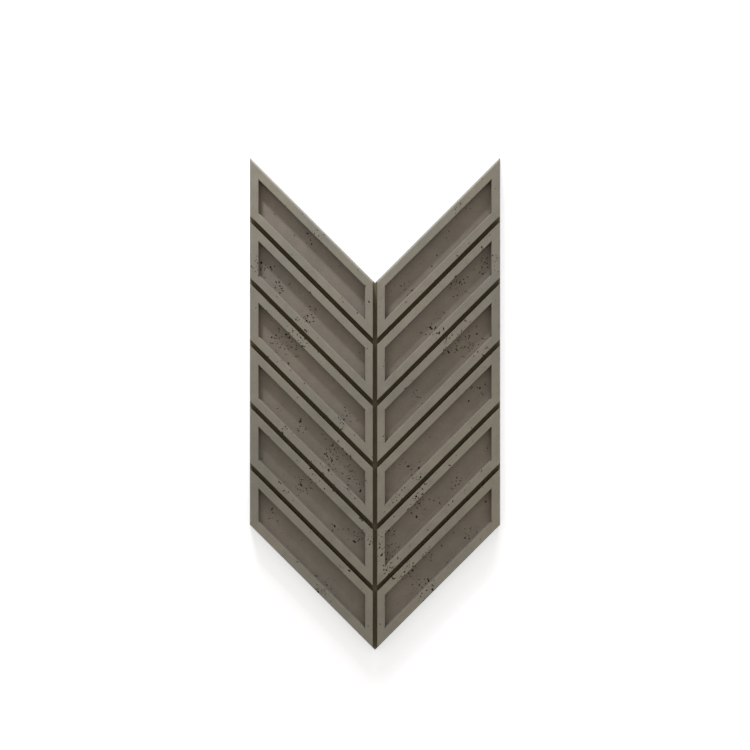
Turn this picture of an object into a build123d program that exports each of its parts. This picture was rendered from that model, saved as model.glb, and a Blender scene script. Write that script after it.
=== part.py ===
"""Herringbone wall panel: one concrete casting, lying on its back with the patterned face up.

The outline is a wide chevron. Two columns of slanted planks stand on it, a deep joint runs between
the planks, and each plank is a flat rim around a sunken pocket. +X crosses the panel, +Y points to
its notched end and +Z points out of the wall that it is glued to. The back lies at Z = 0, and the
origin is the middle of the back's bounding box.
"""

import os
from math import cos, radians, tan

from build123d import *

# Driving dimensions, in millimetres and degrees
panel_width = 400.0  # across the back, from one straight side to the other
plank_width = 62.0  # of one plank's face, square to its length
plank_courses = 6  # planks in each of the two columns
plank_slant = 45.0  # rise of the planks from the panel's middle to its sides
joint_width = 7.0  # of the joints between planks, at the face
joint_depth = 21.0
joint_draft = 2.0  # lean of the joint's walls
rim_width = 12.0  # of the flat rim around a pocket, at the face
pocket_depth = 18.0
pocket_draft = 5.0  # lean of the pocket's walls
panel_thickness = 30.0
edge_draft = 7.5  # lean of the outer edges: the face is smaller than the back
arris_width = 0.4  # of the chamfer along the edges of every rim

# Measures straight up the panel that follow from the slant
steepness = tan(radians(plank_slant))
upright = 1 / cos(radians(plank_slant))  # length up the panel for each unit square to a plank
plank_height = plank_width * upright
joint_height = joint_width * upright
rim_height = rim_width * upright
course_pitch = plank_height + joint_height

# The face is set back from the outline of the back by the lean of the edges
edge_setback = panel_thickness * tan(radians(edge_draft))
face_half_width = panel_width / 2 - edge_setback
side_height = plank_courses * plank_height + (plank_courses - 1) * joint_height
side_height += 2 * edge_setback * upright

# Heights at the panel's middle line, where every chevron has its point
point_drop = panel_width / 2 * steepness
side_top = (side_height + point_drop) / 2
back_notch = side_top - point_drop
face_notch = back_notch - edge_setback * upright
plank_tops = [face_notch - course * course_pitch for course in range(plank_courses)]
joint_tops = [top - plank_height for top in plank_tops[:-1]]

face_plane = Plane.XY.offset(panel_thickness)


def chevron(half_width, height):
    """Corners of a V-shaped band whose upper edge has its point at the origin."""
    rise = half_width * steepness
    upper = [(half_width, rise), (0, 0), (-half_width, rise)]
    lower = [(x, y - height) for x, y in reversed(upper)]
    return upper + lower


def left_pocket():
    """Corners of the pocket of a plank left of the middle whose upper edge passes the origin."""
    outer = face_half_width - rim_width
    inner = joint_width / 2 + rim_width
    upper = [(-x, x * steepness - rim_height) for x in (inner, outer)]
    lower = [(x, y - plank_height + 2 * rim_height) for x, y in reversed(upper)]
    return upper + lower


with BuildPart() as panel:
    # Slab: the back's outline, drawn in to the face by the lean of the edges
    with BuildSketch():
        with Locations((0, back_notch)):
            Polygon(*chevron(panel_width / 2, side_height), align=None)
    extrude(amount=panel_thickness, taper=edge_draft)

    # Joints: one straight up the middle and a V below every course but the last, run out past the edges
    with BuildSketch(face_plane):
        Rectangle(joint_width, 2 * (side_height + point_drop))
        with Locations(*[(0, top) for top in joint_tops]):
            Polygon(*chevron(panel_width, joint_height), align=None)
    extrude(amount=-joint_depth, taper=joint_draft, mode=Mode.SUBTRACT)

    # Pockets: one in every plank, the right column a mirror image of the left
    with BuildSketch(face_plane):
        with Locations(*[(0, top) for top in plank_tops]):
            Polygon(*left_pocket(), align=None)
        mirror(about=Plane.YZ)
    extrude(amount=-pocket_depth, taper=pocket_draft, mode=Mode.SUBTRACT)

    # Arrises: the edges of every rim, around its outside and around its pocket
    rims = panel.faces().filter_by(Axis.Z).group_by(Axis.Z)[-1]
    chamfer(rims.edges(), length=arris_width)

panel.part.label = "panel"

os.makedirs("parts", exist_ok=True)
export_step(panel.part, "parts/panel.step")
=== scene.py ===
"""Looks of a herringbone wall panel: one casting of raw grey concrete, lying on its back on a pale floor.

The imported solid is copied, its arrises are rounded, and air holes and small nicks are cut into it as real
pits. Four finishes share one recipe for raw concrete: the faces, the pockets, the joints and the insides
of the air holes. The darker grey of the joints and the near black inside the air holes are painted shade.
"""

import math
import random

import bmesh
import bpy
from bpy.props import FloatProperty, FloatVectorProperty, IntProperty, PointerProperty
from mathutils import Euler, Matrix, Quaternion, Vector, noise
from mathutils.bvhtree import BVHTree


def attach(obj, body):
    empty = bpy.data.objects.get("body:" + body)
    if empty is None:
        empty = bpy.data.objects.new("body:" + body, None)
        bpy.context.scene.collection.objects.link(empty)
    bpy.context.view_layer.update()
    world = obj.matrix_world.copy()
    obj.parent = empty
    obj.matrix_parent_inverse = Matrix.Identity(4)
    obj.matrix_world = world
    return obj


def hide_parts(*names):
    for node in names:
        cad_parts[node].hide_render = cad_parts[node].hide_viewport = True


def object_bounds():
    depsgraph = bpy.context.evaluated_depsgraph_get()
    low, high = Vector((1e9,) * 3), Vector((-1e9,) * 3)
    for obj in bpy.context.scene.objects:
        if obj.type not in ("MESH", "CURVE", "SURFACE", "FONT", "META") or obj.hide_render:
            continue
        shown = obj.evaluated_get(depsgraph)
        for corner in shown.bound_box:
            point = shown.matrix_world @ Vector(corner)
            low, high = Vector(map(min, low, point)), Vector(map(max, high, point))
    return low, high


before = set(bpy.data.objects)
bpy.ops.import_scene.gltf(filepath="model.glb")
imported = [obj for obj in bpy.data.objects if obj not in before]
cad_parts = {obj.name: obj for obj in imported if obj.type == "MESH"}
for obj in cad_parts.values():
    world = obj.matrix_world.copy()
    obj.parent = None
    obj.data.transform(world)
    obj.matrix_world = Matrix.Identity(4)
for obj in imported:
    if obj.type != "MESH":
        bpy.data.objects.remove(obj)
CAD_LOW, CAD_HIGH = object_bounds()

bl_info = {
    "name": "Herringbone Wall Panel",
    "version": (1, 0, 0),
    "blender": (4, 5, 0),
    "location": "3D View > Sidebar > Wall Panel",
    "description": "Dresses a herringbone wall panel as raw concrete with air holes, and lights it",
    "category": "Object",
}

NODE = "panel"
BODY = "root"

MILLIMETRE = 0.001
THICKNESS = CAD_HIGH.z - CAD_LOW.z

# Material slots of the casting, after that of its faces, which comes first
POCKET_FINISH = 1
# The joints' slot holds painted shade: a darker grey on their floors and walls, in place of the shade deep
# in them
JOINT_PAINTED_SHADE = 2
# The air holes' slot holds painted shade: a near black inside the air holes and nicks
HOLE_PAINTED_SHADE = 3

# Limits that tell one kind of surface from another
MERGE_DISTANCE = 0.01 * MILLIMETRE
FLAT_ANGLE = math.radians(0.5)
LEVEL_NORMAL = 0.99  # a face that points up more than this is a floor or a rim
ARRIS_NORMALS = (0.4, 0.95)  # how far up the chamfers along the rims point
SAME_HEIGHT = 0.1 * MILLIMETRE

# Shape of a pit, in shares of its radius
PIT_LENGTHS = (0.9, 1.45)
PIT_WIDTHS = (0.65, 1.0)
PIT_DEPTHS = (0.8, 1.1)
PIT_LUMPS = ((0.45, 1.3), (0.25, 2.9))  # height and closeness of the lumps that make a pit ragged
LUMP_SHIFT = 99  # how far the lumps are moved from pit to pit, so that no two are alike
FINER_PITS = (0.75 * MILLIMETRE, 1.6 * MILLIMETRE)  # radii above which a pit gets finer facets

# How pits vary, in shares of a radius where they are sizes or depths
RADIUS_VARIATION = 0.4
FRONT_SINK = (0.1, 0.55)
EDGE_SINK = (0.0, 0.4)
EDGE_HEIGHTS = (0.12, 0.85)  # shares of the panel's thickness
EDGE_AIM = 0.8  # share of the panel's length that the lines to its edges aim at
SCATTERED_RADIUS = 0.8
NICK_RADIUS = 1.4
NICK_LIFT = 0.35

# The largest air holes and the small ones around each, in shares of the largest radius
LARGE_RADII = (0.7, 1.0)
HOLES_AROUND_LARGE = 4
AROUND_LARGE_SPREAD = 1.7
AROUND_LARGE_RADII = (0.35, 0.6)

# Pits that break into an earlier one: how many each may get, how far aside and how large
BREAK_COUNTS = (0, 0, 1, 1, 2)
BREAK_STEPS = (0.6, 1.5)
BREAK_RADII = (0.35, 0.65)

# How many air holes a crowd has
FEW = 16
SOME = 38
MANY = 75
HOLES_FOR_EACH_LARGE = 28  # a crowd has one large air hole for so many

# Crowds by plank, from the notched end down: share along and share up the pocket, and how many holes
LEFT_CROWDS = (
    ((0.5, 1.0, FEW),),
    ((1.0, 0.3, SOME), (0.8, 0.3, FEW), (0.6, -0.2, SOME), (0.5, 0.5, FEW)),
    ((0.8, 0.5, MANY), (0.6, 1.2, SOME), (0.2, 0.1, SOME)),
    ((0.8, -0.3, FEW), (0.6, 0.4, FEW), (0.3, 0.4, MANY), (0.1, 0.3, SOME)),
    ((0.6, 0.5, SOME), (0.5, 1.1, SOME), (0.3, 0.1, FEW), (0.0, 0.8, SOME)),
    ((0.9, 0.6, FEW), (0.2, 1.2, FEW), (0.4, -0.2, SOME)),
)
RIGHT_CROWDS = (
    ((0.2, 0.3, FEW), (0.7, 1.2, FEW)),
    ((1.0, 0.4, SOME), (0.7, 0.7, SOME), (0.5, 0.4, FEW), (0.5, -0.2, SOME)),
    ((0.6, 1.2, SOME), (0.8, 0.5, MANY), (0.3, 0.4, FEW)),
    ((0.9, 0.6, FEW), (0.3, -0.2, SOME), (0.1, -0.2, SOME)),
    ((0.3, 1.0, MANY), (0.7, 0.3, FEW), (0.0, 0.7, MANY), (0.0, -0.2, SOME)),
    ((0.2, 1.1, SOME), (0.4, 0.9, FEW), (0.3, 0.4, FEW), (0.4, -0.2, SOME), (0.8, 0.3, FEW)),
)

# Surface of raw concrete: detail of its patterns, and how strongly each shades the grey
CLOUD_DETAIL = 3
MOTTLE_DETAIL = 5
GRAIN_DETAIL = 2
PATTERN_ROUGHNESS = 0.55
CLOUD_SHADE = 0.16
MOTTLE_SHADE = 0.19
GRAIN_SHADE = 0.30
COOLER = (0.99, 1.0, 1.015)
WARMER = (1.015, 0.995, 0.98)
DRIFT_RANGE = (0.38, 0.62)  # from the cooler to the warmer grey

# Pinholes, whose dots are painted shade: size of a dot in its cell, which cells have one, and how dark the
# mottling is there
DOT_RANGE = (0.08, 0.13)
CHOSEN_RANGE = (0.50, 0.55)
PATCH_RANGE = (0.50, 0.42)
PINHOLE_DEPTH = 3.0  # in heights of a grain

# Relief and sheen
RELIEF_STRENGTH = 0.8
CONCRETE_SPECULAR = 0.25
MOTTLE_RANGE = (0.3, 0.7)
ROUGHNESS_RANGE = (0.82, 0.94)

# Stage: its lengths are in metres, and the width of the camera's sensor is in millimetres
FLOOR_REACH = 60.0  # far enough that no view shows the end of the floor
FLOOR_ROUGHNESS = 0.95
FLOOR_SPECULAR = 0.1
SENSOR_WIDTH = 36.0


class ConcreteSettings(bpy.types.PropertyGroup):
    """Colours and surface of the casting."""

    face_colour: FloatVectorProperty(
        name="Face colour",
        description="Colour of the rims, the outer edges and the back",
        subtype="COLOR",
        min=0.0,
        max=1.0,
        default=(0.200, 0.194, 0.167),
    )
    pocket_colour: FloatVectorProperty(
        name="Pocket colour",
        description="Colour of the sunken pockets, a little browner than the rims",
        subtype="COLOR",
        min=0.0,
        max=1.0,
        default=(0.209, 0.194, 0.169),
    )
    # Painted shade: the joints' floors and walls get this darker grey in place of the shade deep in them
    joint_shade_colour: FloatVectorProperty(
        name="Joint colour",
        description="Colour deep in the joints between the planks",
        subtype="COLOR",
        min=0.0,
        max=1.0,
        default=(0.172, 0.150, 0.098),
    )
    # Painted shade: a near black inside the air holes and nicks, and in the pinhole dots, in place of the
    # shade in them
    hole_shade_colour: FloatVectorProperty(
        name="Air hole colour",
        description="Colour inside the air holes and nicks",
        subtype="COLOR",
        min=0.0,
        max=1.0,
        default=(0.045, 0.037, 0.028),
    )
    arris_rounding: FloatProperty(
        name="Arris rounding",
        description="How far the chamfers along the rims are rounded off",
        subtype="DISTANCE",
        unit="LENGTH",
        min=0.0,
        default=0.13 * MILLIMETRE,
    )
    cloud_size: FloatProperty(
        name="Cloud size",
        description="Size of the broad light and dark clouds in the grey",
        subtype="DISTANCE",
        unit="LENGTH",
        default=140 * MILLIMETRE,
    )
    mottle_size: FloatProperty(
        name="Mottle size",
        description="Size of the smaller blotches left by the mould",
        subtype="DISTANCE",
        unit="LENGTH",
        default=22 * MILLIMETRE,
    )
    grain_size: FloatProperty(
        name="Grain size",
        description="Size of the sand grains at the surface",
        subtype="DISTANCE",
        unit="LENGTH",
        default=0.9 * MILLIMETRE,
    )
    grain_height: FloatProperty(
        name="Grain height",
        description="Height of the sand grains above the surface",
        subtype="DISTANCE",
        unit="LENGTH",
        default=0.12 * MILLIMETRE,
    )
    pinhole_spacing: FloatProperty(
        name="Pinhole spacing",
        description="Distance between the finest pinholes, which are too small to cut",
        subtype="DISTANCE",
        unit="LENGTH",
        default=3.4 * MILLIMETRE,
    )


class AirHoleSettings(bpy.types.PropertyGroup):
    """Number and size of the pits that are cut into the casting."""

    seed: IntProperty(
        name="Seed",
        description="Draws another set of air holes",
        default=11,
    )
    crowding: FloatProperty(
        name="Crowding",
        description="How full the crowds of air holes are",
        min=0.0,
        default=1.0,
    )
    crowd_spread: FloatProperty(
        name="Crowd spread",
        description="How far the air holes of a crowd lie apart",
        subtype="DISTANCE",
        unit="LENGTH",
        min=0.0,
        default=1.5 * MILLIMETRE,
    )
    scattered: IntProperty(
        name="Scattered holes",
        description="Air holes spread over the whole front, besides those in the crowds",
        min=0,
        default=380,
    )
    on_edges: IntProperty(
        name="Holes on the edges",
        description="Air holes in the outer edges of the casting",
        min=0,
        default=120,
    )
    nicks: IntProperty(
        name="Nicks",
        description="Small breaks along the arrises",
        min=0,
        default=70,
    )
    usual_radius: FloatProperty(
        name="Usual radius",
        description="Half the width of an ordinary air hole",
        subtype="DISTANCE",
        unit="LENGTH",
        default=0.88 * MILLIMETRE,
    )
    largest_radius: FloatProperty(
        name="Largest radius",
        description="Half the width of the largest air hole",
        subtype="DISTANCE",
        unit="LENGTH",
        default=2.1 * MILLIMETRE,
    )


class StageSettings(bpy.types.PropertyGroup):
    """Floor, light and camera."""

    floor_colour: FloatVectorProperty(
        name="Floor colour",
        description="Colour of the floor",
        subtype="COLOR",
        min=0.0,
        max=1.0,
        default=(0.87, 0.89, 0.93),
    )
    floor_glow: FloatProperty(
        name="Floor glow",
        description="Light that the floor gives off, which keeps it white around the panel",
        min=0.0,
        default=0.40,
    )
    floor_glow_colour: FloatVectorProperty(
        name="Floor glow colour",
        description="Colour of the floor's own light, which evens out the warm sky",
        subtype="COLOR",
        min=0.0,
        max=1.0,
        default=(0.89, 0.945, 1.0),
    )
    sky_colour: FloatVectorProperty(
        name="Sky colour",
        description="Colour of the even light from all sides",
        subtype="COLOR",
        min=0.0,
        max=1.0,
        default=(1.0, 0.92, 0.82),
    )
    sky_strength: FloatProperty(
        name="Sky strength",
        description="Strength of the even light from all sides",
        min=0.0,
        default=0.42,
    )
    overhead_strength: FloatProperty(
        name="Overhead strength",
        description="Strength of the broad light from straight above, which has the sky's colour",
        min=0.0,
        default=0.74,
    )
    overhead_spread: FloatProperty(
        name="Overhead spread",
        description="How wide the broad light from straight above looks from the panel",
        subtype="ANGLE",
        unit="ROTATION",
        default=math.radians(100.0),
    )
    wash_colour: FloatVectorProperty(
        name="Wash colour",
        description="Colour of the broad, low light from beyond the notched end",
        subtype="COLOR",
        min=0.0,
        max=1.0,
        default=(1.0, 0.96, 0.94),
    )
    wash_strength: FloatProperty(
        name="Wash strength",
        description="Strength of the broad, low light",
        min=0.0,
        default=2.4,
    )
    wash_height: FloatProperty(
        name="Wash height",
        description="Angle of the broad, low light above the floor",
        subtype="ANGLE",
        unit="ROTATION",
        default=math.radians(15.0),
    )
    wash_spread: FloatProperty(
        name="Wash spread",
        description="How wide the broad, low light looks from the panel",
        subtype="ANGLE",
        unit="ROTATION",
        default=math.radians(30.0),
    )
    key_colour: FloatVectorProperty(
        name="Key colour",
        description="Colour of the spotlight",
        subtype="COLOR",
        min=0.0,
        max=1.0,
        default=(0.98, 0.964, 1.0),
    )
    key_power: FloatProperty(
        name="Key power",
        description="Power of the spotlight above the notched end",
        subtype="POWER",
        unit="POWER",
        min=0.0,
        default=1450.0,
    )
    key_distance: FloatProperty(
        name="Key distance",
        description="Distance from the spotlight to the middle of its pool",
        subtype="DISTANCE",
        unit="LENGTH",
        default=3.0,
    )
    key_height: FloatProperty(
        name="Key height",
        description="Angle of the spotlight above the floor",
        subtype="ANGLE",
        unit="ROTATION",
        default=math.radians(30.5),
    )
    key_turn: FloatProperty(
        name="Key turn",
        description="How far the spotlight stands to the left of the panel's middle line",
        subtype="ANGLE",
        unit="ROTATION",
        default=math.radians(11.0),
    )
    key_across: FloatProperty(
        name="Key across",
        description="How far across the panel the middle of the pool of light lies",
        subtype="DISTANCE",
        unit="LENGTH",
        default=-0.22,
    )
    key_along: FloatProperty(
        name="Key along",
        description="How far up the panel the middle of the pool of light lies, past the notched end",
        subtype="DISTANCE",
        unit="LENGTH",
        default=1.05,
    )
    key_pool: FloatProperty(
        name="Key pool",
        description="Reach of the pool of light to each side",
        subtype="DISTANCE",
        unit="LENGTH",
        default=0.40,
    )
    key_size: FloatProperty(
        name="Key size",
        description="Radius of the spotlight, which softens the edge of its shadows",
        subtype="DISTANCE",
        unit="LENGTH",
        default=0.34,
    )
    camera_distance: FloatProperty(
        name="Camera distance",
        description="Distance from the camera to the panel's face",
        subtype="DISTANCE",
        unit="LENGTH",
        default=2.4,
    )
    frame_width: FloatProperty(
        name="Frame width",
        description="Width of the picture at the panel's face",
        subtype="DISTANCE",
        unit="LENGTH",
        default=1.1836,
    )
    frame_middle: FloatProperty(
        name="Frame middle",
        description="How far up the panel the middle of the picture lies",
        subtype="DISTANCE",
        unit="LENGTH",
        default=0.0458,
    )


class PanelSettings(bpy.types.PropertyGroup):
    """All settings of the wall panel and its stage."""

    concrete: PointerProperty(type=ConcreteSettings)
    air_holes: PointerProperty(type=AirHoleSettings)
    stage: PointerProperty(type=StageSettings)


def merged_casting():
    """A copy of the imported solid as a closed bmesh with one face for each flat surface."""
    casting = bmesh.new()
    casting.from_mesh(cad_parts[NODE].data)
    bmesh.ops.remove_doubles(casting, verts=casting.verts, dist=MERGE_DISTANCE)
    bmesh.ops.dissolve_limit(
        casting, angle_limit=FLAT_ANGLE, verts=casting.verts, edges=casting.edges
    )
    casting.normal_update()
    return casting


def is_arris(face):
    """Whether a face is one of the chamfers along the rims."""
    low, high = ARRIS_NORMALS
    return low < face.normal.z < high


def round_arrises(casting, rounding):
    """Round off both sides of every chamfer along the rims."""
    sides = []
    for edge in casting.edges:
        kinds = {is_arris(face) for face in edge.link_faces}
        if len(kinds) == 2:
            sides.append(edge)
    bmesh.ops.bevel(
        casting,
        geom=sides,
        offset=rounding,
        offset_type="OFFSET",
        segments=2,
        profile=0.5,
        affect="EDGES",
        clamp_overlap=True,
        material=-1,
    )
    casting.normal_update()


def find_floors(casting):
    """The level faces at the bottom of the joints, and those at the bottom of the pockets."""
    floors = {}
    for face in casting.faces:
        if face.normal.z > LEVEL_NORMAL:
            height = round(face.calc_center_median().z / SAME_HEIGHT)
            floors.setdefault(height, []).append(face)
    joint_height, pocket_height, *_ = sorted(floors)
    return floors[joint_height], floors[pocket_height]


def paint_recess(floor, finish):
    """Give a joint its painted shade, or a pocket its browner grey, on its floor and its walls alike."""
    floor.material_index = finish
    lowest = floor.calc_center_median().z - SAME_HEIGHT
    for edge in floor.edges:
        for wall in edge.link_faces:
            if min(vert.co.z for vert in wall.verts) > lowest:
                wall.material_index = finish


def pocket_column(pockets, side):
    """The pockets left of the middle, for a side of -1, or right of it, from the notched end down."""
    column = [floor for floor in pockets if floor.calc_center_median().x * side > 0]
    return sorted(column, key=lambda floor: -floor.calc_center_median().y)


def pocket_sides(floor):
    """The corner of a pocket's floor that is lowest at the middle joint, its length and its width."""
    corners = sorted((vert.co for vert in floor.verts), key=lambda place: abs(place.x))
    low, high = sorted(corners[:2], key=lambda place: place.y)
    far = min(corners[2:], key=lambda place: place.y)
    return low, far - low, high - low


class PitDrill:
    """Collects pits for one cut, none of them touching another, as one bmesh."""

    def __init__(self, casting, settings, seed):
        self.draw = random.Random(seed)
        self.settings = settings
        self.surface = BVHTree.FromBMesh(casting)
        casting.faces.index_update()
        self.joints = {face.index for face in casting.faces if face.material_index == JOINT_PAINTED_SHADE}
        self.pits = bmesh.new()
        self.mould = bpy.data.meshes.new("pit")
        self.placed = []

    def radius(self):
        """An air hole's radius: most are small, and a few are large."""
        size = self.settings.usual_radius * self.draw.lognormvariate(0.0, RADIUS_VARIATION)
        return min(size, self.settings.largest_radius)

    def drill_at(self, start, direction, radius, sunk):
        """Place a pit where a line meets the casting outside its joints, sunk by a share of its radius."""
        place, normal, face, _ = self.surface.ray_cast(start, direction)
        if place is None or face in self.joints:
            return
        self.place_pit(place - normal * radius * sunk, normal, radius)

    def place_pit(self, middle, normal, radius):
        """Add one ragged, stretched ball, unless it would touch another."""
        draw = self.draw
        shares = [draw.uniform(*limits) for limits in (PIT_LENGTHS, PIT_WIDTHS, PIT_DEPTHS)]
        stretch = Matrix.Diagonal((*shares, 1.0))
        turn = normal.to_track_quat("Z", "Y").to_matrix().to_4x4()
        spin = Matrix.Rotation(draw.uniform(0, math.tau), 4, "Z")
        shift = Vector([draw.uniform(0, LUMP_SHIFT) for _ in range(3)])
        ball = bmesh.new()
        fine = 1 + sum(radius > limit for limit in FINER_PITS)
        bmesh.ops.create_icosphere(ball, subdivisions=fine, radius=radius)
        for vert in ball.verts:
            way = vert.co / radius
            lumps = sum(height * noise.noise(way * close + shift) for height, close in PIT_LUMPS)
            vert.co *= 1 + lumps
        bmesh.ops.transform(ball, matrix=turn @ spin @ stretch, verts=ball.verts)
        reach = max(vert.co.length for vert in ball.verts)
        if all((middle - other).length > reach + taken for other, taken, _ in self.placed):
            self.placed.append((middle, reach, normal))
            bmesh.ops.translate(ball, vec=middle, verts=ball.verts)
            ball.to_mesh(self.mould)
            self.pits.from_mesh(self.mould)
        ball.free()

    def drill_front(self, x, y, radius):
        """One air hole in whatever lies below a point of the front."""
        start = Vector((x, y, CAD_HIGH.z + THICKNESS))
        self.drill_at(start, Vector((0, 0, -1)), radius, self.draw.uniform(*FRONT_SINK))

    def drill_large(self, x, y):
        """One of the largest air holes, with a few small ones around it."""
        largest = self.settings.largest_radius
        self.drill_front(x, y, self.draw.uniform(*LARGE_RADII) * largest)
        spread = AROUND_LARGE_SPREAD * largest
        for _ in range(HOLES_AROUND_LARGE):
            beside_x = self.draw.gauss(x, spread)
            beside_y = self.draw.gauss(y, spread)
            self.drill_front(beside_x, beside_y, self.draw.uniform(*AROUND_LARGE_RADII) * largest)

    def drill_crowd(self, middle, holes):
        """One crowd of air holes, dense in its middle, with the largest ones among them."""
        spread = self.settings.crowd_spread * math.sqrt(holes)
        for count in range(holes):
            x = self.draw.gauss(middle.x, spread)
            y = self.draw.gauss(middle.y, spread)
            if count < holes // HOLES_FOR_EACH_LARGE:
                self.drill_large(x, y)
            else:
                self.drill_front(x, y, self.radius())

    def drill_crowds(self, pockets, crowds_of_planks):
        """The crowds on one column of planks. A share below 0 or above 1 is on the rim of the pocket."""
        for floor, crowds in zip(pockets, crowds_of_planks, strict=True):
            corner, length, width = pocket_sides(floor)
            for along, up, holes in crowds:
                middle = corner + length * along + width * up
                self.drill_crowd(middle, round(holes * self.settings.crowding))

    def drill_scattered(self):
        """Single air holes all over the front."""
        for _ in range(self.settings.scattered):
            self.drill_front(
                self.draw.uniform(CAD_LOW.x, CAD_HIGH.x),
                self.draw.uniform(CAD_LOW.y, CAD_HIGH.y),
                self.radius() * SCATTERED_RADIUS,
            )

    def drill_beside(self, earlier):
        """Smaller pits that break into those of an earlier cut, and make ragged clumps of them."""
        for middle, reach, normal in earlier.placed:
            for _ in range(self.draw.choice(BREAK_COUNTS)):
                aside = normal.orthogonal().normalized()
                aside.rotate(Quaternion(normal, self.draw.uniform(0, math.tau)))
                step = reach * self.draw.uniform(*BREAK_STEPS)
                self.place_pit(middle + aside * step, normal, reach * self.draw.uniform(*BREAK_RADII))

    def drill_edges(self):
        """Air holes in the outer edges, found from all round the panel."""
        reach = (CAD_HIGH - CAD_LOW).length
        middle = (CAD_LOW + CAD_HIGH) / 2
        for _ in range(self.settings.on_edges):
            way = self.draw.uniform(0, math.tau)
            inwards = Vector((-math.cos(way), -math.sin(way), 0))
            aim = middle + Vector((0, self.draw.uniform(CAD_LOW.y, CAD_HIGH.y) * EDGE_AIM, 0))
            aim.z = self.draw.uniform(*EDGE_HEIGHTS) * THICKNESS
            self.drill_at(aim - inwards * reach, inwards, self.radius(), self.draw.uniform(*EDGE_SINK))

    def nick_arrises(self, casting):
        """Small breaks along the arrises, each a ball that only grazes the edge."""
        arrises = [face for face in casting.faces if is_arris(face)]
        lengths = [face.calc_perimeter() for face in arrises]
        for face in self.draw.choices(arrises, weights=lengths, k=self.settings.nicks):
            ends = sorted(face.edges, key=lambda edge: edge.calc_length())[-1].verts
            along = self.draw.random()
            place = ends[0].co.lerp(ends[1].co, along)
            radius = self.radius() * NICK_RADIUS
            self.place_pit(place + face.normal * radius * NICK_LIFT, face.normal, radius)

    def finished(self):
        """All pits as a mesh of their own finish, the near black of painted shade inside the air holes."""
        for face in self.pits.faces:
            face.material_index = HOLE_PAINTED_SHADE
            face.smooth = True
        mesh = bpy.data.meshes.new("pits")
        self.pits.to_mesh(mesh)
        self.pits.free()
        bpy.data.meshes.remove(self.mould)
        return mesh


def cut_pits(context, casting, pits, finishes):
    """Cut the pits out of the casting and leave the result as its plain mesh."""
    cutter = bpy.data.objects.new("pits", pits)
    for finish in finishes:
        pits.materials.append(finish)
    context.collection.objects.link(cutter)
    cut = casting.modifiers.new("cut_pits", "BOOLEAN")
    cut.operation = "DIFFERENCE"
    cut.solver = "MANIFOLD"
    cut.material_mode = "INDEX"
    cut.object = cutter
    context.view_layer.update()
    whole = casting.data
    graph = context.evaluated_depsgraph_get()
    casting.data = bpy.data.meshes.new_from_object(casting.evaluated_get(graph))
    casting.data.name = casting.name
    casting.modifiers.clear()
    bpy.data.objects.remove(cutter)
    bpy.data.meshes.remove(pits)
    bpy.data.meshes.remove(whole)


def add_node(tree, kind, **settings):
    """A shader node with its own settings, such as a blend type."""
    node = tree.nodes.new(kind)
    for name, value in settings.items():
        setattr(node, name, value)
    return node


def add_noise(tree, place, size, detail):
    """Noise whose blotches are about as large as the size given, in metres."""
    texture = add_node(tree, "ShaderNodeTexNoise")
    texture.inputs["Scale"].default_value = 1 / size
    texture.inputs["Detail"].default_value = detail
    texture.inputs["Roughness"].default_value = PATTERN_ROUGHNESS
    tree.links.new(place, texture.inputs["Vector"])
    return texture.outputs["Fac"]


def add_range(tree, value, limits, to_low=0.0, to_high=1.0):
    """A value taken from one range to another, and held at its ends."""
    low, high = limits
    span = add_node(tree, "ShaderNodeMapRange")
    span.inputs["From Min"].default_value = low
    span.inputs["From Max"].default_value = high
    span.inputs["To Min"].default_value = to_low
    span.inputs["To Max"].default_value = to_high
    tree.links.new(value, span.inputs["Value"])
    return span.outputs["Result"]


def add_math(tree, operation, first, second):
    """Two values put together, each a socket or a number."""
    node = add_node(tree, "ShaderNodeMath", operation=operation)
    for value, socket in ((first, node.inputs[0]), (second, node.inputs[1])):
        if isinstance(value, bpy.types.NodeSocket):
            tree.links.new(value, socket)
        else:
            socket.default_value = value
    return node.outputs["Value"]


def shade(tree, colour, tone, strength):
    """A colour made lighter and darker by a tone around one half."""
    mix = add_node(tree, "ShaderNodeMix", data_type="RGBA", blend_type="OVERLAY")
    mix.inputs["Factor"].default_value = strength
    tree.links.new(colour, mix.inputs["A"])
    tree.links.new(tone, mix.inputs["B"])
    return mix.outputs["Result"]


def add_blend(tree, factor, first, second):
    """Two colours, each a socket or a plain colour, blended by a factor."""
    mix = add_node(tree, "ShaderNodeMix", data_type="RGBA")
    tree.links.new(factor, mix.inputs["Factor"])
    for value, socket in ((first, mix.inputs["A"]), (second, mix.inputs["B"])):
        if isinstance(value, bpy.types.NodeSocket):
            tree.links.new(value, socket)
        else:
            socket.default_value = (*value, 1.0)
    return mix.outputs["Result"]


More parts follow.
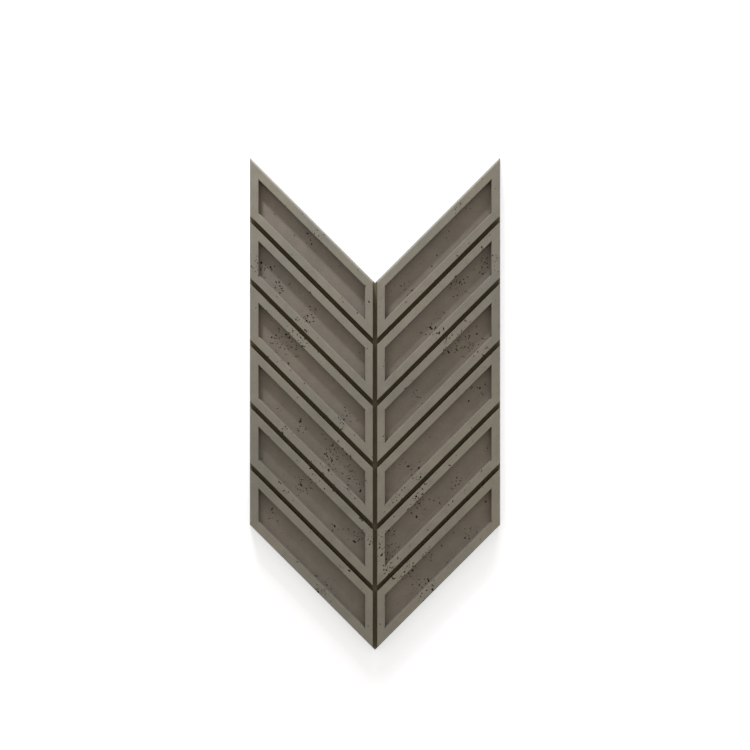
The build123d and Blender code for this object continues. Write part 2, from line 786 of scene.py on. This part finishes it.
def make_concrete(name, colour, settings):
    """Raw concrete: a cloudy grey with sand grains and pinholes of painted shade, and no gloss."""
    material = bpy.data.materials.new(name)
    material.use_nodes = True
    tree = material.node_tree
    shader = tree.nodes["Principled BSDF"]
    shader.inputs["Specular IOR Level"].default_value = CONCRETE_SPECULAR
    place = add_node(tree, "ShaderNodeTexCoord").outputs["Object"]

    clouds = add_noise(tree, place, settings.cloud_size, CLOUD_DETAIL)
    mottle = add_noise(tree, place, settings.mottle_size, MOTTLE_DETAIL)
    grain = add_noise(tree, place, settings.grain_size, GRAIN_DETAIL)

    # Pinholes: a dot in some of the cells of a fine pattern, and only where the mottling is dark; each dot
    # is painted shade
    cells = add_node(tree, "ShaderNodeTexVoronoi")
    cells.inputs["Scale"].default_value = 1 / settings.pinhole_spacing
    tree.links.new(place, cells.inputs["Vector"])
    dots = add_range(tree, cells.outputs["Distance"], DOT_RANGE, 1.0, 0.0)
    chosen = add_range(tree, cells.outputs["Color"], CHOSEN_RANGE)
    patches = add_range(tree, mottle, PATCH_RANGE)
    pinholes = add_math(tree, "MULTIPLY", dots, add_math(tree, "MULTIPLY", chosen, patches))

    # Colour: the plain grey drifts towards a warmer one, then takes its light and dark
    cooler = [part * share for part, share in zip(colour, COOLER)]
    warmer = [part * share for part, share in zip(colour, WARMER)]
    drift = add_range(tree, clouds, DRIFT_RANGE)
    grey = add_blend(tree, drift, cooler, warmer)
    grey = shade(tree, grey, clouds, CLOUD_SHADE)
    grey = shade(tree, grey, mottle, MOTTLE_SHADE)
    grey = shade(tree, grey, grain, GRAIN_SHADE)
    # Painted shade: the pinhole dots take the near black of the air holes' insides
    grey = add_blend(tree, pinholes, grey, settings.hole_shade_colour)
    tree.links.new(grey, shader.inputs["Base Color"])

    # Relief and sheen
    sunk = add_math(tree, "MULTIPLY", pinholes, PINHOLE_DEPTH)
    relief = add_math(tree, "SUBTRACT", grain, sunk)
    bump = add_node(tree, "ShaderNodeBump")
    bump.inputs["Strength"].default_value = RELIEF_STRENGTH
    bump.inputs["Distance"].default_value = settings.grain_height
    tree.links.new(relief, bump.inputs["Height"])
    tree.links.new(bump.outputs["Normal"], shader.inputs["Normal"])
    roughness = add_range(tree, mottle, MOTTLE_RANGE, *ROUGHNESS_RANGE)
    tree.links.new(roughness, shader.inputs["Roughness"])
    return material


class CastPanel(bpy.types.Operator):
    """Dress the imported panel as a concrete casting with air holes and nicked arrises"""

    bl_idname = "wall_panel.cast_panel"
    bl_label = "Cast Panel"

    def execute(self, context):
        settings = context.scene.wall_panel
        concrete = settings.concrete
        # The joints' darker grey and the near black inside the air holes are painted shade
        finishes = [
            make_concrete("concrete_face", concrete.face_colour, concrete),
            make_concrete("concrete_pocket", concrete.pocket_colour, concrete),
            make_concrete("concrete_joint_painted_shade", concrete.joint_shade_colour, concrete),
            make_concrete("air_hole_painted_shade", concrete.hole_shade_colour, concrete),
        ]
        shape = merged_casting()
        joints, pockets = find_floors(shape)
        # Painted shade: the joints' floors and walls get the darker joint grey; the pockets get their
        # browner grey
        for floor in joints:
            paint_recess(floor, JOINT_PAINTED_SHADE)
        for floor in pockets:
            paint_recess(floor, POCKET_FINISH)
        holes = settings.air_holes
        first = PitDrill(shape, holes, holes.seed)
        first.drill_crowds(pocket_column(pockets, -1), LEFT_CROWDS)
        first.drill_crowds(pocket_column(pockets, 1), RIGHT_CROWDS)
        first.drill_edges()
        first.nick_arrises(shape)
        second = PitDrill(shape, holes, holes.seed + 1)
        second.drill_beside(first)
        second.drill_scattered()
        round_arrises(shape, concrete.arris_rounding)

        mesh = bpy.data.meshes.new("panel_casting")
        shape.to_mesh(mesh)
        shape.free()
        for finish in finishes:
            mesh.materials.append(finish)
        casting = bpy.data.objects.new("panel_casting", mesh)
        context.collection.objects.link(casting)
        cut_pits(context, casting, first.finished(), finishes)
        cut_pits(context, casting, second.finished(), finishes)
        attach(casting, BODY)
        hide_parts(NODE)
        return {"FINISHED"}


def make_floor(context, settings):
    """A wide, pale, matt floor under the panel."""
    shape = bmesh.new()
    bmesh.ops.create_grid(shape, x_segments=1, y_segments=1, size=FLOOR_REACH)
    mesh = bpy.data.meshes.new("floor")
    shape.to_mesh(mesh)
    shape.free()
    material = bpy.data.materials.new("pale_floor")
    material.use_nodes = True
    shader = material.node_tree.nodes["Principled BSDF"]
    shader.inputs["Base Color"].default_value = (*settings.floor_colour, 1.0)
    shader.inputs["Roughness"].default_value = FLOOR_ROUGHNESS
    shader.inputs["Specular IOR Level"].default_value = FLOOR_SPECULAR
    shader.inputs["Emission Color"].default_value = (*settings.floor_glow_colour, 1.0)
    shader.inputs["Emission Strength"].default_value = settings.floor_glow
    mesh.materials.append(material)
    floor = bpy.data.objects.new("floor", mesh)
    context.collection.objects.link(floor)


def make_sky(context, settings):
    """Even light from all sides."""
    world = bpy.data.worlds.new("studio")
    world.use_nodes = True
    background = world.node_tree.nodes["Background"]
    background.inputs["Color"].default_value = (*settings.sky_colour, 1.0)
    background.inputs["Strength"].default_value = settings.sky_strength
    context.scene.world = world


def make_overhead(context, settings):
    """Broad, soft light from straight above, which leaves upright walls darker than floors."""
    lamp = bpy.data.lights.new("overhead", "SUN")
    lamp.color = settings.sky_colour
    lamp.energy = settings.overhead_strength
    lamp.angle = settings.overhead_spread
    context.collection.objects.link(bpy.data.objects.new("overhead", lamp))


def make_wash(context, settings):
    """Broad, low light from beyond the notched end, which brightens the walls that face it."""
    towards = Vector((0, math.cos(settings.wash_height), math.sin(settings.wash_height)))
    lamp = bpy.data.lights.new("wash", "SUN")
    lamp.color = settings.wash_colour
    lamp.energy = settings.wash_strength
    lamp.angle = settings.wash_spread
    wash = bpy.data.objects.new("wash", lamp)
    wash.rotation_euler = (-towards).to_track_quat("-Z", "Y").to_euler()
    context.collection.objects.link(wash)


def make_key(context, settings):
    """A spotlight beyond the notched end, a little to the left, whose pool fades down the panel."""
    pool = Vector((settings.key_across, settings.key_along, CAD_HIGH.z))
    flat = Euler((0, 0, settings.key_turn)).to_matrix() @ Vector((0, math.cos(settings.key_height), 0))
    towards = flat + Vector((0, 0, math.sin(settings.key_height)))
    lamp = bpy.data.lights.new("key", "SPOT")
    lamp.color = settings.key_colour
    lamp.energy = settings.key_power
    lamp.shadow_soft_size = settings.key_size
    lamp.spot_size = 2 * math.atan(settings.key_pool / settings.key_distance)
    lamp.spot_blend = 1.0
    key = bpy.data.objects.new("key", lamp)
    key.location = pool + towards * settings.key_distance
    key.rotation_euler = (-towards).to_track_quat("-Z", "Y").to_euler()
    context.collection.objects.link(key)


def make_camera(context, settings):
    """A camera that looks straight down on the panel, its notched end at the top of the picture."""
    lens = bpy.data.cameras.new("camera")
    lens.sensor_width = SENSOR_WIDTH
    lens.lens = SENSOR_WIDTH * settings.camera_distance / settings.frame_width
    camera = bpy.data.objects.new("camera", lens)
    camera.location = (0.0, settings.frame_middle, CAD_HIGH.z + settings.camera_distance)
    context.collection.objects.link(camera)
    context.scene.camera = camera


class SetStage(bpy.types.Operator):
    """Lay the floor, light the panel and look down on it"""

    bl_idname = "wall_panel.set_stage"
    bl_label = "Set Stage"

    def execute(self, context):
        settings = context.scene.wall_panel.stage
        make_floor(context, settings)
        make_sky(context, settings)
        make_overhead(context, settings)
        make_wash(context, settings)
        make_key(context, settings)
        make_camera(context, settings)
        context.scene.view_settings.view_transform = "Standard"
        return {"FINISHED"}


class WallPanelSidebar(bpy.types.Panel):
    """Settings and steps of the wall panel"""

    bl_idname = "VIEW3D_PT_wall_panel"
    bl_label = "Wall Panel"
    bl_space_type = "VIEW_3D"
    bl_region_type = "UI"
    bl_category = "Wall Panel"

    def draw(self, context):
        settings = context.scene.wall_panel
        for group in (settings.concrete, settings.air_holes, settings.stage):
            box = self.layout.box()
            for name in group.bl_rna.properties.keys():
                if name not in ("rna_type", "name"):
                    box.prop(group, name)
        self.layout.operator(CastPanel.bl_idname)
        self.layout.operator(SetStage.bl_idname)


CLASSES = (
    ConcreteSettings,
    AirHoleSettings,
    StageSettings,
    PanelSettings,
    CastPanel,
    SetStage,
    WallPanelSidebar,
)


def register():
    """Make the settings, the steps and the sidebar known to Blender."""
    for kind in CLASSES:
        bpy.utils.register_class(kind)
    bpy.types.Scene.wall_panel = PointerProperty(type=PanelSettings)


def unregister():
    """Take the settings, the steps and the sidebar out again."""
    del bpy.types.Scene.wall_panel
    for kind in reversed(CLASSES):
        bpy.utils.unregister_class(kind)


def main():
    """Build the panel and its stage."""
    register()
    bpy.ops.wall_panel.cast_panel()
    bpy.ops.wall_panel.set_stage()


if __name__ == "__main__":
    main()
